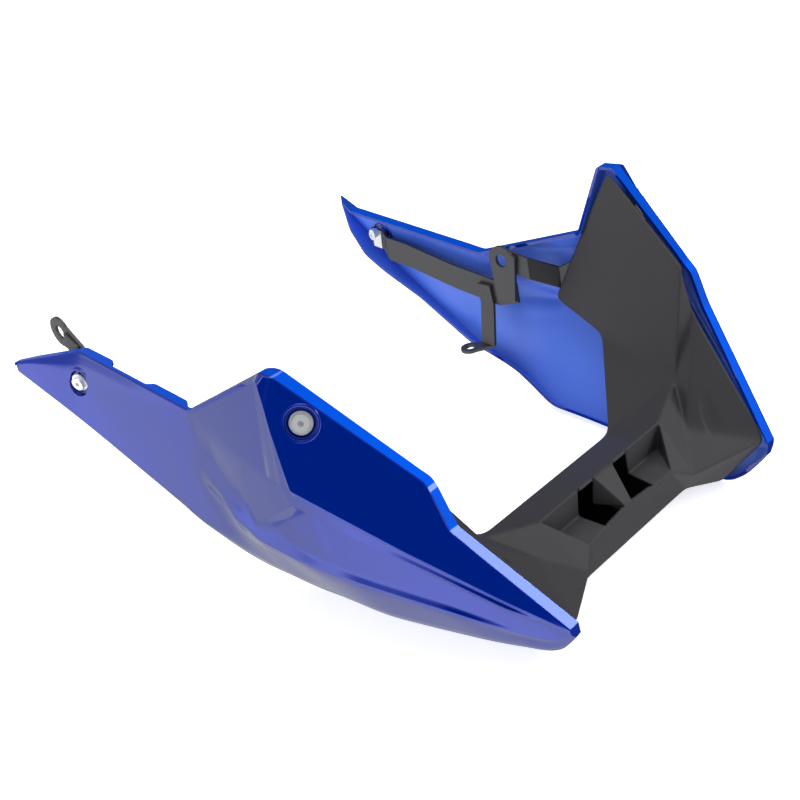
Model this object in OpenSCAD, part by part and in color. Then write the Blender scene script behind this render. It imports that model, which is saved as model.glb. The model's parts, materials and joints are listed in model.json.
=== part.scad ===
// Engine chassis shroud: a belly pan of two painted side panels, a black centre cowl and two steel stays.
// X points forward, +Y is the left side, Z is up. The origin is on the floor under the middle of its length.

/* [Side panel outline] */
// Distance of the tail tip behind the origin
tail_x = 256; // [248:1:270]
// Height of the tail tip
tail_z = 165; // [160:1:170]
// Half width over the tail tips
tail_half = 207; // [202:1:212]
// Distance of the tail's upper corner behind the origin
heel_x = 196; // [190:1:204]
// Height of the tail's upper corner
heel_z = 171; // [168:1:178]
// Half width at the tail's upper corner
heel_half = 174; // [171:1:179]
// Half width at the notch, which is the waist of the pan
waist_half = 178; // [176:1:182]
// Height of the notch on the right panel
notch_z_right = 155; // [152:1:160]
// Height of the notch on the left panel
notch_z_left = 149; // [147:1:156]
// Height of the right fin's rear edge ahead of the notch
foot_z_right = 219; // [214:1:224]
// Height of the left fin's rear edge there, from where it climbs steeply
foot_z_left = 176; // [172:1:184]
// Distance ahead of the origin at which the flat top of the fin starts
apex_x = 114; // [110:1:116]
// Length of the flat top of the fin
apex_flat = 12; // [9:1:14]
// Height of the fin
apex_z = 236; // [230:1:244]
// Half width over the tops of the fins
apex_half = 203; // [200:1:206]
// Distance of the shoulder ahead of the origin
shoulder_x = 143; // [140:1:148]
// Height of the shoulder, where the fin's creases meet
shoulder_z = 163; // [158:1:168]
// Half width at the shoulders, the widest place of the pan
shoulder_half = 224; // [220:1:228]
// Height of the upper kink in the right front edge
kink_z_right = 155; // [150:1:160]
// Height of the upper kink in the left front edge
kink_z_left = 178; // [172:1:182]
// Drop from the upper to the lower kink
kink_drop = 35; // [31:1:38]
// Distance of the nose ahead of the origin
nose_x = 294; // [290:1:300]
// Height of the nose's upper corner
nose_z = 47; // [45:1:52]
// Half width over the noses
nose_half = 136; // [133:1:140]

/* [Side panel section] */
// Wall of the painted panels
panel_wall = 2.6; // [2.2:0.1:3]
// Width of the rim turned in along the top and the front
rim_w = 11; // [9:0.5:13]
// Rise of the lower rim's edge above the skirt, below the fin
rim_rise = 8; // [6:0.5:10]
// Depth of the wedge-shaped pocket below the shoulder
pocket_depth = 6; // [4:0.5:7]

/* [Centre cowl] */
// Wall of the cowl
cowl_wall = 2.5; // [2:0.1:3]
// Half width of the bridge at its rear edge
bridge_rear_half = 83; // [78:1:88]
// Half width of the bridge at its front edge
bridge_front_half = 67; // [63:1:71]
// Height of the bridge's rear edge
bridge_rear_z = 46; // [42:1:50]
// Height of the crest across the bridge
crest_z = 76; // [72:1:80]
// Half width over both vents, along the crest
vent_half = 77; // [72:1:80]
// Width of the rib between the vents, at the crest
vent_rib = 24; // [18:1:30]
// Height of a vent's mouth under the crest
vent_depth = 24; // [18:1:27]
// Diameter of the posts that carry the cowl
post_d = 13; // [12:0.5:15]
// Diameter of the studs on the back of the cowl
stud_d = 5; // [4:0.5:6]
// Wall of the rubber grommet round each stud
grommet_wall = 1.8; // [1.5:0.1:2]

/* [Fasteners] */
// Thread diameter of the panel bolts
bolt_d = 6; // [5:1:6]
// Diameter of a bolt's head
head_d = 12; // [10.5:0.5:13]
// Height of a bolt's head
head_h = 3.4; // [3:0.1:4]
// Width of the socket in a bolt's head
socket_w = 4; // [3:0.5:5]
// Diameter of a collar's flange
collar_d = 16.5; // [15:0.5:18]
// Thickness of a collar's flange
collar_t = 1.4; // [1.2:0.1:1.8]
// Diameter of the round cup in the panel that a collar sits in
cup_d = 23; // [21:0.5:24]
// Depth of that cup
cup_depth = 4; // [3:0.5:4.5]
// Thickness of the spring strip of a clip nut
clip_t = 0.8; // [0.6:0.1:1]
// Width of a clip nut
clip_w = 15; // [13:0.5:17]

/* [Stays] */
// Thickness of the steel strips
strip_t = 3; // [2.5:0.5:3.5]
// Width of the long arms
arm_w = 25; // [22:1:27]
// Width of the front arms
front_arm_w = 21; // [18:1:22]
// Diameter of the hole in an eye plate
eye_hole = 13; // [10:0.5:14]
// Outer diameter of an eye plate
eye_d = 29; // [26:1:31]
// Diameter of the hole in the left leg's foot
foot_hole = 9; // [7:0.5:10]
// Outer diameter of that foot
foot_d = 19; // [18:1:22]

/* [Hidden] */
$fn = 48;
BLUE = [0.05, 0.12, 0.75];
BLACK = [0.08, 0.08, 0.09];
STEEL = [0.2, 0.2, 0.21];
ZINC = [0.75, 0.76, 0.78];
RUBBER = [0.1, 0.1, 0.1];
// Gap between parts that are seated on or in each other
GAP = 0.1;

apex_end = apex_x + apex_flat;
// Moves the parts so that the origin is under the middle of the pan's length
module centred() translate([(tail_x - nose_x) / 2, 0, 0]) children();

foot_x = 83;
// What differs between the sides: heights of the notch and the foot, run of the fin's start, height of the kink
RIGHT = [notch_z_right, foot_z_right, 0, kink_z_right];
LEFT = [notch_z_left, foot_z_left, 10, kink_z_left];

// Stations of the sections along a panel, from the tail to the nose
STATIONS = [-tail_x, -232, -heel_x - 12, -heel_x, -171, -144, -117, -88, -59, -32, -16, 0, 24, 50, 58, 70, foot_x,
            94, apex_x - 10, apex_x, 120, apex_end, 134, shoulder_x, 160, 177, 190, 206, 213, 225, 240, 254, 262, 275, 285, nose_x];

// Lines of the right and left panels over x. Each row is a place along x and the line's height or half width
function top_z(side) = [
    [-tail_x, tail_z], [-heel_x, heel_z], [-32, side[0]], [foot_x, side[1]], [apex_x - side[2], apex_z],
    [apex_end, apex_z], [206, side[3]], [213, side[3] - 8], [225, side[3] - kink_drop], [nose_x, nose_z]];
TOP_Y = [
    [-tail_x, tail_half], [-heel_x, heel_half], [-36, waist_half], [apex_x, apex_half], [apex_end, apex_half],
    [206, 161], [225, 163], [nose_x, nose_half]];
RIDGE_Z = [[apex_x, 229], [120, 221], [apex_end, 203], [134, 184], [shoulder_x, shoulder_z], [177, 136],
           [206, 112], [257, 73], [nose_x, 44.6]];
RIDGE_Y = [[apex_x, 206], [apex_end, 214], [shoulder_x, shoulder_half], [257, 159], [nose_x, nose_half]];
CREASE_Z = [[-tail_x, 162.5], [-heel_x, 150], [-117, 146], [-36, 147], [27, 150], [101, 154], [shoulder_x, 159],
            [177, 132], [206, 108.5], [257, 69.5], [nose_x, 43.3]];
CREASE_Y = [[-tail_x, tail_half], [-heel_x, 187], [-117, 183], [-36, 179], [27, 195], [101, 214],
            [shoulder_x, shoulder_half - 0.6], [nose_x, nose_half - 0.5]];
POCKET_TOP_Z = [[-tail_x, 161.2], [-heel_x, 139], [-117, 128], [-59, 122], [0, 118], [50, 104], [58, 94],
                [shoulder_x - 7, 146], [177, 121], [206, 103], [259, 66], [282, 48.5], [nose_x, 42.1]];
POCKET_TOP_Y = [[-tail_x, tail_half], [-heel_x, 190], [-117, 185], [-59, 181], [0, 190], [58, 207],
                [shoulder_x - 7, shoulder_half - 5], [174, 207], [203, 193], [226, 181], [259, 162], [282, 142],
                [nose_x, 135]];
FLOOR_TOP_Z = [[-tail_x, 160], [-heel_x, 135], [-117, 118], [-59, 110], [0, 106], [50, 97], [60, 90.5], [84, 99],
               [shoulder_x, 138], [177, 115], [206, 97], [259, 61], [282, 45], [nose_x, 41]];
FLOOR_END_Z = [[-tail_x, 158.8], [-heel_x, 131.5], [-117, 108], [-59, 98], [0, 95], [50, 91], [60, 87], [84, 93.5],
               [110, 89.5], [150, 83], [186, 73.5], [219, 63.5], [248, 49], [275, 35], [nose_x, 39.9]];
LEDGE_Z = [[-tail_x, 157.6], [-heel_x, 128], [-117, 98], [-59, 85], [0, 84], [58, 84], [113, 82], [154, 76],
           [189, 67], [226, 57], [250, 43.5], [277, 30.5], [nose_x, 38.9]];
LEDGE_Y = [[-tail_x, tail_half], [-heel_x, 195], [-117, 187], [-59, 186], [0, 197], [58, 213], [113, 210],
           [154, 201], [189, 188], [226, 173], [250, 157], [277, 138], [nose_x, 133]];
SKIRT_Z = [[-tail_x, 156.4], [-heel_x, 124.5], [-117, 84], [-59, 66], [0, 70], [58, 74], [113, 72], [154, 64],
           [226, 46], [277, 25], [nose_x, 37.9]];
SKIRT_Y = [[-tail_x, tail_half], [-heel_x, 197], [-117, 187], [-59, 187], [0, 196], [58, 209], [113, 205],
           [154, 195], [226, 167], [277, 134], [nose_x, 132]];
BELLY_Z = [[-tail_x, 155.2], [-heel_x, 121.5], [-117, 76], [-59, 48], [0, 38], [51, 26], [80, 24], [145, 20],
           [224, 13], [263, 10], [277, 19], [285, 28], [nose_x, 36.9]];
BELLY_Y = [[-tail_x, tail_half], [-117, 187.5], [-59, 186], [0, 186], [24, 185], [51, 181], [80, 177], [145, 172],
           [224, 147], [263, 131], [nose_x, 131]];
BASE_Z = [[-tail_x, 154], [-211, 128], [-171, 102], [-117, 71], [-59, 38], [50, 2], [58, 0], [262, 0], [275, 10],
          [285, 23], [nose_x, 36]];
BASE_Y = [[-tail_x, tail_half], [-211, 200], [-171, 193], [-117, 187], [-66, 181], [-20, 178], [2, 175], [27, 168],
          [50, 160], [92, 156], [137, 150], [182, 142], [222, 133], [262, 124], [nose_x, 130]];
TOP_IN = [[apex_end, rim_w], [200, rim_w - 3], [nose_x, rim_w - 1]];
RIM_IN = [[-tail_x, rim_w - 3], [-226, 22], [-heel_x, 27], [-128, 13], [0, rim_w], [222, 8], [262, 5], [nose_x, 5]];
RIM_UP = [[-tail_x, 1], [-128, 0], [0, rim_rise], [222, 4], [262, 3], [nose_x, 1]];
POCKET = [[60, 0], [84, pocket_depth], [shoulder_x, pocket_depth], [240, 3], [283, 0.2]];

function section(x, side) = let (
        zt = lookup(x, top_z(side)), yt = lookup(x, TOP_Y),
        zr = x < apex_x ? zt - 5 : lookup(x, RIDGE_Z), yr = x < apex_x ? yt + 1.2 : lookup(x, RIDGE_Y),
        yd = lookup(x, POCKET_TOP_Y), yg = lookup(x, LEDGE_Y), d = lookup(x, POCKET),
        yb = lookup(x, BASE_Y), zb = lookup(x, BASE_Z)) [
    [yt - lookup(x, TOP_IN), zt], [yt, zt], [yr, zr], [lookup(x, CREASE_Y), lookup(x, CREASE_Z)],
    [yd, lookup(x, POCKET_TOP_Z)], [yd * 0.7 + yg * 0.3 - d, lookup(x, FLOOR_TOP_Z)],
    [yd * 0.2 + yg * 0.8 - d, lookup(x, FLOOR_END_Z)], [yg, lookup(x, LEDGE_Z)],
    [lookup(x, SKIRT_Y), lookup(x, SKIRT_Z)], [lookup(x, BELLY_Y), lookup(x, BELLY_Z)],
    [yb, zb], [yb - lookup(x, RIM_IN), zb + lookup(x, RIM_UP)]];

function panel_points(side) = [for (x = STATIONS) [for (q = section(x, side)) [x, q[0], q[1]]]];

function unit(v) = v / norm(v);
// Sum of the directions in a list
function total(v, i = 0) = i == len(v) ? [0, 0, 0] : v[i] + total(v, i + 1);
// Step from a point of a sheet to its other side, for the normals of the faces that meet there
function inset(normals, wall) = let (mean = unit(total(normals)), c = min([for (n = normals) mean * n]))
    -mean * wall / max(c, 0.55);

// Normal of the face between two neighbouring points of a grid, on the side that the rows turn outwards
function grid_normal(g, i, j) = unit(cross(g[i + 1][j] - g[i][j] + g[i + 1][j + 1] - g[i][j + 1],
                                           g[i][j + 1] - g[i][j] + g[i + 1][j + 1] - g[i + 1][j]));

// Points a distance behind a grid, as if its sheet had that wall
function behind(g, wall) = let (rows = len(g), cols = len(g[0]),
        normals = [for (i = [0:rows - 2]) [for (j = [0:cols - 2]) grid_normal(g, i, j)]])
    [for (i = [0:rows - 1]) [for (j = [0:cols - 1]) g[i][j] + inset(
        [for (a = [max(i - 1, 0):min(i, rows - 2)]) for (b = [max(j - 1, 0):min(j, cols - 2)]) normals[a][b]],
        wall)]];

// Solid between two grids of points, the first on the outside
module grid_solid(g, back) {
    rows = len(g);
    cols = len(g[0]);
    n = rows * cols;
    points = [for (r = concat(g, back)) for (p = r) p];
    function at(i, j) = i * cols + j;
    front = [for (i = [0:rows - 2]) for (j = [0:cols - 2])
        for (f = [[at(i, j), at(i + 1, j + 1), at(i + 1, j)], [at(i, j), at(i, j + 1), at(i + 1, j + 1)]]) f];
    rear = [for (f = front) [f[2] + n, f[1] + n, f[0] + n]];
    border = concat([for (i = [0:rows - 2]) [at(i, 0), at(i + 1, 0)]],
                    [for (j = [0:cols - 2]) [at(rows - 1, j), at(rows - 1, j + 1)]],
                    [for (i = [rows - 1:-1:1]) [at(i, cols - 1), at(i - 1, cols - 1)]],
                    [for (j = [cols - 1:-1:1]) [at(0, j), at(0, j - 1)]]);
    edge = [for (e = border) for (f = [[e[0], e[1], e[1] + n], [e[0], e[1] + n, e[0] + n]]) f];
    polyhedron(points, concat(front, rear, edge), convexity = 8);
}

// Everything outside the middle of a panel's wall. Its front face goes on upwards past the panel's top
module outside_of(g) {
    skin = [for (i = [2:len(g) - 3]) concat([g[i][1] * 4 - g[i][2] * 3], [for (j = [2:9]) g[i][j]])];
    grid_solid([for (r = skin) [for (p = r) p + [0, 90, 0]]], behind(skin, panel_wall / 2));
}

// Half width of the cowl's wings, clear of the rim of the fins
wing_half = apex_half - rim_w - 6;
// Corners of the cowl's left half, with the places where its wing meets the kinks of the panel
function cowl_points(kink) = [
    [apex_x + 5, wing_half, apex_z - 3], [apex_x - 10, wing_half, apex_z - 28], [87, wing_half, apex_z - 58],
    [47, wing_half - 2, 105], [115, wing_half - 26, 92],
    [171, bridge_rear_half, bridge_rear_z], kink[0], kink[1], [213, 124, 87], [238, 98, 61], [262, 70, 40],
    [254, bridge_front_half, 26], [292, 118, 49], [258, 114, 7], [227, vent_half, crest_z],
    [227, vent_rib / 2, crest_z], [249, vent_rib / 2 - 8, crest_z - 25], [252, vent_half - 24, crest_z - 27],
    [226, vent_half - 3, crest_z - vent_depth], [226, vent_rib / 2 + 3, crest_z - vent_depth],
    [171, 0, bridge_rear_z], [227, 0, crest_z], [249, 0, crest_z - 25], [254, 0, 26]];
KINK_LEFT = [[213, 144, kink_z_left + 1], [220, 146, kink_z_left - 38]];
KINK_RIGHT = [[206, 145, kink_z_right - 5], [222, 147, kink_z_right - 39]];
// Triangles of the cowl's left half, counter-clockwise from the side that shows: wing, trough, bridge, rib, vent
COWL_FACES = [[0, 1, 6], [1, 2, 6], [2, 4, 6], [2, 3, 4], [6, 4, 8], [6, 8, 7], [7, 8, 9], [7, 9, 12], [9, 10, 12],
              [12, 10, 11], [12, 11, 13], [8, 4, 5], [8, 5, 14], [9, 8, 14], [10, 9, 14], [10, 14, 17], [11, 10, 17],
              [14, 5, 15], [5, 20, 15], [20, 21, 15], [15, 21, 22], [15, 22, 16], [16, 22, 23], [16, 23, 11],
              [16, 11, 17], [16, 17, 18], [16, 18, 19], [18, 17, 14], [15, 16, 19]];
MIDDLE = 20;

function cowl_all(left, right) = concat(left, [for (i = [0:MIDDLE - 1]) [right[i][0], -right[i][1], right[i][2]]]);
function mirrored(f) = [for (k = [2, 1, 0]) f[k] < MIDDLE ? f[k] + MIDDLE + 4 : f[k]];
COWL_ALL = cowl_all(cowl_points(KINK_LEFT), cowl_points(KINK_RIGHT));
COWL_ALL_FACES = concat(COWL_FACES, [for (f = COWL_FACES) mirrored(f)]);

function face_normal(p, f) = unit(cross(p[f[1]] - p[f[0]], p[f[2]] - p[f[0]]));
function has(f, k) = f[0] == k || f[1] == k || f[2] == k;
function goes(f, a, b) = (f[0] == a && f[1] == b) || (f[1] == a && f[2] == b) || (f[2] == a && f[0] == b);

// Closed sheet of even wall behind a set of triangles
module facet_sheet(p, faces, wall) {
    n = len(p);
    back = [for (k = [0:n - 1]) p[k] + inset([for (f = faces) if (has(f, k)) face_normal(p, f)], wall)];
    edges = [for (f = faces) for (e = [[f[0], f[1]], [f[1], f[2]], [f[2], f[0]]]) e];
    border = [for (e = edges) if (len([for (f = faces) if (goes(f, e[1], e[0])) 1]) == 0) e];
    polyhedron(concat(p, back), concat([for (f = faces) [f[2], f[1], f[0]]], [for (f = faces) f + [n, n, n]],
        [for (e = border) for (f = [[e[0], e[1], e[1] + n], [e[0], e[1] + n, e[0] + n]]) f]), convexity = 8);
}

// Turns its children's +Z to a direction, at a place
module aim(place, way) translate(place) rotate([0, acos(way[2] / norm(way)), atan2(way[1], way[0])]) children();

// Posts of a side: x and z on the back of a cowl's wing, the triangle there, and where the grommet starts
POSTS = [[apex_x - 6, apex_z - 26, [0, 1, 6], 1], [98, 120, [2, 3, 4], 1], [242, 84, [7, 9, 12], 2.6]];
function on_face(p, f, x, z) = let (n = face_normal(p, f), a = p[f[0]])
    [x, a[1] - (n[0] * (x - a[0]) + n[2] * (z - a[2])) / n[1], z];
function post_frame(kink, i) = let (p = cowl_points(kink), f = POSTS[i][2], n = face_normal(p, f))
    [on_face(p, f, POSTS[i][0], POSTS[i][1]) - n * cowl_wall, -n];
STUD_L = 10;

// Place on a panel's skin at a length and a height. A section is read as half width over height
function skin_at(x, z, side) = let (s = section(x, side))
    [x, lookup(z, [for (k = [1:10]) [s[k][1], s[k][0]]]), z];
// Bolts of a side, drawn on the left: place on the panel's skin, outward direction, and turn of the clip nut
function front_bolt(side) = [skin_at(apex_end + 18, apex_z - 32, side), [0.685, 0.642, 0.344], -90];
BOLTS_RIGHT = [[skin_at(6 - heel_x, 147, RIGHT), [0.24, 0.966, -0.09], 0], front_bolt(RIGHT)];
BOLTS_LEFT = [[skin_at(22 - heel_x, 142, LEFT), [0.2, 0.975, -0.1], 0], front_bolt(LEFT)];
boss_depth = cup_depth + panel_wall;
grommet_d = stud_d + 2 * GAP + 2 * grommet_wall;

module at_bolts(bolts) for (b = bolts) aim(b[0], b[1]) rotate([0, 0, b[2]]) children();
module at_all_bolts() {
    at_bolts(BOLTS_LEFT) children();
    mirror([0, 1, 0]) at_bolts(BOLTS_RIGHT) children();
}

module cowl_sheet(wall) facet_sheet(COWL_ALL, COWL_ALL_FACES, wall);

// A panel, drawn as the left one. hand is 1 for the left panel and -1 for the right one
module panel(side, kink, bolts, hand) {
    g = panel_points(side);
    difference() {
        union() {
            grid_solid(g, behind(g, panel_wall));
            difference() {
                union() {
                    for (i = [0:2]) let (q = post_frame(kink, i)) aim(q[0] - q[1], q[1])
                        cylinder(h = 85, d = post_d, $fn = 32);
                    at_bolts(bolts) translate([0, 0, -boss_depth]) cylinder(h = boss_depth + 2, d = cup_d + 4);
                }
                outside_of(g);
                scale([1, hand, 1]) cowl_sheet(cowl_wall + 2 * GAP);
            }
        }
        at_bolts(bolts) {
            translate([0, 0, -cup_depth]) cylinder(h = 30, d = cup_d);
            translate([0, 0, -20]) cylinder(h = 30, d = bolt_d + 3);
        }
        for (i = [0:2]) let (q = post_frame(kink, i)) aim(q[0] - q[1], q[1])
            cylinder(h = STUD_L + 2, d = grommet_d + 2 * GAP, $fn = 32);
    }
}

module right_side_panel() centred() color(BLUE) mirror([0, 1, 0])
    panel(RIGHT, KINK_RIGHT, BOLTS_RIGHT, -1);
module left_side_panel() centred() color(BLUE) panel(LEFT, KINK_LEFT, BOLTS_LEFT, 1);

module studs(kink, d, from, h) for (i = [0:2]) let (q = post_frame(kink, i)) aim(q[0] + q[1] * from, q[1])
    cylinder(h = h, d = d, $fn = 32);

module centre_cowl() centred() color(BLACK) {
    cowl_sheet(cowl_wall);
    studs(KINK_LEFT, stud_d, -0.6, STUD_L);
    mirror([0, 1, 0]) studs(KINK_RIGHT, stud_d, -0.6, STUD_L);
}

module grommets(kink) for (i = [0:2]) let (q = post_frame(kink, i)) aim(q[0] + q[1] * POSTS[i][3], q[1])
    difference() {
        cylinder(h = STUD_L - POSTS[i][3], d = grommet_d, $fn = 32);
        translate([0, 0, -1]) cylinder(h = STUD_L + 2, d = stud_d + 2 * GAP, $fn = 32);
    }
module cowl_grommets() centred() color(RUBBER) {
    grommets(KINK_LEFT);
    mirror([0, 1, 0]) grommets(KINK_RIGHT);
}

// Depths under the panel's skin at a bolt: clip leaf, strip, clip leaf, nut barrel
strip_depth = boss_depth + clip_t + 2 * GAP;
clip_depth = strip_depth + strip_t + clip_t + 2 * GAP;
barrel_l = 6;

// Strip of steel along a path of places on its outer face. Each has the step from there to the strip's upper edge
module strip(path) {
    g = [for (p = path) [p[0] + p[1], p[0] - p[1]]];
    grid_solid(g, behind(g, strip_t));
}
// Flat end of a strip under a bolt, and how far it reaches up and down from the bolt
module pad(bolt, up, down, w) aim(bolt[0], bolt[1]) translate([-up, -w / 2, -strip_depth - strip_t])
    cube([up + down, w, strip_t]);
// Room for a bolt and for the panel's boss on a strip
module bolt_room(bolt) aim(bolt[0], bolt[1]) {
    translate([0, 0, GAP / 2 - strip_depth]) cylinder(h = 40, d = cup_d + 12);
    translate([0, 0, -30]) cylinder(h = 40, d = bolt_d + 1);
}
// Directions along a pad, to the rear and up, and a place on its outer face
function rearward(bolt) = unit(cross([0, 0, 1], bolt[1]));
function rise(bolt) = unit(cross(bolt[1], rearward(bolt)));
function on_pad(bolt, rear, up) = bolt[0] - unit(bolt[1]) * strip_depth + rearward(bolt) * rear + rise(bolt) * up;

// Half width of the pan at the outer face of the long arms' front ends, and at the right eye plate
arm_half = waist_half - rim_w - 2;
eye_half = heel_half - 6.5;
UP = [0, 0, arm_w / 2];
ARM = [[[-158, arm_half + 9.5, 130], UP], [[-128, arm_half + 7, 128], UP], [[-64, arm_half + 3, 117], UP],
       [[-5, arm_half, 110], UP], [[19, arm_half, 114], UP * 0.8]];
pad_up = 4;
pad_down = 14;
module long_arm(bolt, tail) difference() {
    union() {
        strip(concat(tail, [[on_pad(bolt, -9, (pad_up - pad_down) / 2), rise(bolt) * (pad_up + pad_down) / 2]], ARM));
        pad(bolt, pad_up, pad_down, arm_w);
    }
    bolt_room(bolt);
}
// The right arm runs on to the rear, past the bolt and in to the eye plate above the panel's tail
EYE_END = [[[28 - tail_x, eye_half, 171], UP * 0.65], [[42 - tail_x, eye_half, 160], UP * 0.7],
           [on_pad(BOLTS_RIGHT[0], 12, (pad_up - pad_down) / 2), rise(BOLTS_RIGHT[0]) * 8.5]];
module left_stay_arm() centred() color(STEEL) long_arm(BOLTS_LEFT[0], []);
module right_stay_arm() centred() color(STEEL) mirror([0, 1, 0]) long_arm(BOLTS_RIGHT[0], EYE_END);

// The tail is a polygon of x and z, counted from the middle of the ring
module ring_plate(x, z, y, d, hole, tail) translate([x, y, z]) difference() {
    union() {
        rotate([90, 0, 0]) cylinder(h = strip_t, d = d);
        rotate([90, 0, 0]) linear_extrude(strip_t) polygon(tail);
    }
    translate([0, 1, 0]) rotate([90, 0, 0]) cylinder(h = strip_t + 2, d = hole);
}
inner_y = arm_half - strip_t - GAP;
module left_eye_plate() centred() color(STEEL)
    ring_plate(8, 147, inner_y, eye_d, eye_hole, [[-11, -43], [10, -41], [17, 5], [0, 14.5], [-14, 3]]);
module right_eye_plate() centred() color(STEEL) mirror([0, 1, 0]) ring_plate(16 - tail_x, 177,
    eye_half - strip_t - GAP, eye_d, eye_hole, [[-10, -10], [28, -26], [35, -11], [10, 9]]);

// Front arms run on from the long arms' layer, out behind the cowl's wing and up to the second bolt
front_arm_gap = 12;
// Step from the pad's face down to the strip's, clear of the clip nut
joggle = 0.3;
function arm_at(x, z, side) = skin_at(x, z, side) - [0, front_arm_gap, 0];
function front_half(bolt) = (rearward(bolt) + rise(bolt)) * front_arm_w / 3;
FLAT = [0, 0, front_arm_w / 2];
module front_arm(bolt, side) difference() {
    union() {
        strip([[[12, arm_half, 147], FLAT], [[34, arm_half + 2, 141], FLAT], [arm_at(50, 124, side), FLAT],
               [arm_at(75, 137, side), FLAT], [arm_at(105, 167, side), [-6, 0, 9]],
               [on_pad(bolt, 12, -12) - unit(bolt[1]) * (joggle + 2), front_half(bolt)],
               [on_pad(bolt, 6.2, -6.2) - unit(bolt[1]) * joggle, front_half(bolt)]]);
        pad(bolt, 10, 11, 2 * pad_down);
    }
    bolt_room(bolt);
}
module left_front_arm() centred() color(STEEL) front_arm(BOLTS_LEFT[1], LEFT);
module right_front_arm() centred() color(STEEL) mirror([0, 1, 0]) front_arm(BOLTS_RIGHT[1], RIGHT);

// The left stay's leg hangs from the long arm, and its foot is turned in
foot_half = inner_y - 11;
LEG = [[inner_y, 118], [inner_y, 98], [foot_half, 56 + strip_t]];
module left_stay_leg() centred() color(STEEL) {
    g = [for (x = [-28, -12]) [for (q = LEG) [x + (118 - q[1]) * 0.08, q[0], q[1]]]];
    grid_solid(g, behind(g, strip_t));
}
module left_leg_foot() centred() color(STEEL) translate([0, 0, 56 - GAP]) difference() {
    union() {
        translate([-30, foot_half - 13, 0]) cylinder(h = strip_t, d = foot_d);
        translate([0, foot_half, 0]) linear_extrude(strip_t) polygon([[-27, 0.5], [-9, 0.5], [-22, -17], [-37, -8]]);
    }
    translate([-30, foot_half - 13, -1]) cylinder(h = strip_t + 2, d = foot_hole);
}

module panel_bolts() centred() color(ZINC) at_all_bolts() difference() {
    union() {
        translate([0, 0, collar_t - cup_depth + 2 * GAP]) cylinder(h = head_h, d = head_d);
        translate([0, 0, -clip_depth - barrel_l + 0.5]) cylinder(h = clip_depth + barrel_l - cup_depth + collar_t + GAP,
            d = bolt_d);
    }
    translate([0, 0, collar_t - cup_depth + head_h - 2]) cylinder(h = 4, d = socket_w / cos(30), $fn = 6);
}
module bolt_collars() centred() color(ZINC) at_all_bolts() difference() {
    union() {
        translate([0, 0, GAP - cup_depth]) cylinder(h = collar_t, d = collar_d);
        translate([0, 0, -boss_depth]) cylinder(h = panel_wall + GAP + 0.5, d = bolt_d + 3 - 2 * GAP);
    }
    translate([0, 0, -20]) cylinder(h = 40, d = bolt_d + 2 * GAP);
}
// A clip nut is a strip bent round the edge of the stay, here towards local +X, with a nut barrel on its back leaf
module clip_spring() difference() {
    translate([-pad_up, -clip_w / 2, -clip_depth])
        cube([pad_down + pad_up + clip_t + GAP, clip_w, clip_depth - boss_depth - GAP]);
    translate([-10, -clip_w / 2 - 1, -strip_depth - strip_t - GAP])
        cube([pad_down + 10 + GAP, clip_w + 2, strip_t + 2 * GAP]);
    translate([0, 0, -40]) cylinder(h = 60, d = bolt_d + 3);
}
module clip_springs() centred() color(ZINC) at_all_bolts() clip_spring();
module clip_barrels() centred() color(ZINC) at_all_bolts() translate([0, 0, -clip_depth - barrel_l - GAP]) difference() {
    cylinder(h = barrel_l, d = 11);
    translate([0, 0, -1]) cylinder(h = barrel_l + 2, d = bolt_d + 2 * GAP);
}

right_side_panel();
left_side_panel();
centre_cowl();
cowl_grommets();
right_stay_arm();
right_eye_plate();
right_front_arm();
left_stay_arm();
left_eye_plate();
left_front_arm();
left_stay_leg();
left_leg_foot();
panel_bolts();
bolt_collars();
clip_springs();
clip_barrels();
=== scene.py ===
# %% [markdown]
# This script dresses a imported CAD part, a motorbike's belly pan, for a picture. The real pan has two painted
# side panels, a black cowl across the front, two black steel stays and a few zinc plated fasteners. The CAD
# model fixes the pan's size and where each piece goes. Here the large pieces are made again with rounded
# creases and thin, even walls, and each takes the place of its CAD node.

# %% Load the frame
import bpy
import json
import math
import numpy as np
from mathutils import Matrix, Vector
from mathutils.bvhtree import BVHTree


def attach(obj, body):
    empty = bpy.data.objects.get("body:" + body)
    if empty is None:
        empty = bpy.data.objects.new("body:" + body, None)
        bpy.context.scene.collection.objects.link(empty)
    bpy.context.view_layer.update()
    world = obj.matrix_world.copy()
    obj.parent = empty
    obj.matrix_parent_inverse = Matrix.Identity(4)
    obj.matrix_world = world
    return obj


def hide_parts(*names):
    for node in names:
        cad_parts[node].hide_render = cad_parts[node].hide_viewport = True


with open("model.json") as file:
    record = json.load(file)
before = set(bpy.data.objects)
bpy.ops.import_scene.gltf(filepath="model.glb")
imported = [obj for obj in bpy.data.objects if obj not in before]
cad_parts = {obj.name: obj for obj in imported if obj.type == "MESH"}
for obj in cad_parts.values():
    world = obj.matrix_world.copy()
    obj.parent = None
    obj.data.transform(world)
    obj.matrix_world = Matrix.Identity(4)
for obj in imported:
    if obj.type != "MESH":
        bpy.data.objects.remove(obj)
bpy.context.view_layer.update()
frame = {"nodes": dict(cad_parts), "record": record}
MM = 0.001
# The CAD source is drawn around another origin and then moved by this much, in millimetres
CENTRE_X = -19.0

# %% [markdown]
# A paint or plastic is a chain of shader nodes. These helpers keep each finish short: one makes a material
# with a principled shader, the others add a node and link it.

# %% Helpers for materials
def new_material(name, colour, rough, metal=0.0, **more):
    """A principled material. Extra values are the shader's own inputs, with _ for a space."""
    material = bpy.data.materials.new(name)
    material.use_nodes = True
    shader = material.node_tree.nodes["Principled BSDF"]
    shader.inputs["Base Color"].default_value = (*colour, 1)
    shader.inputs["Roughness"].default_value = rough
    shader.inputs["Metallic"].default_value = metal
    for key, value in more.items():
        shader.inputs[key.replace("_", " ")].default_value = value
    return material


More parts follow.
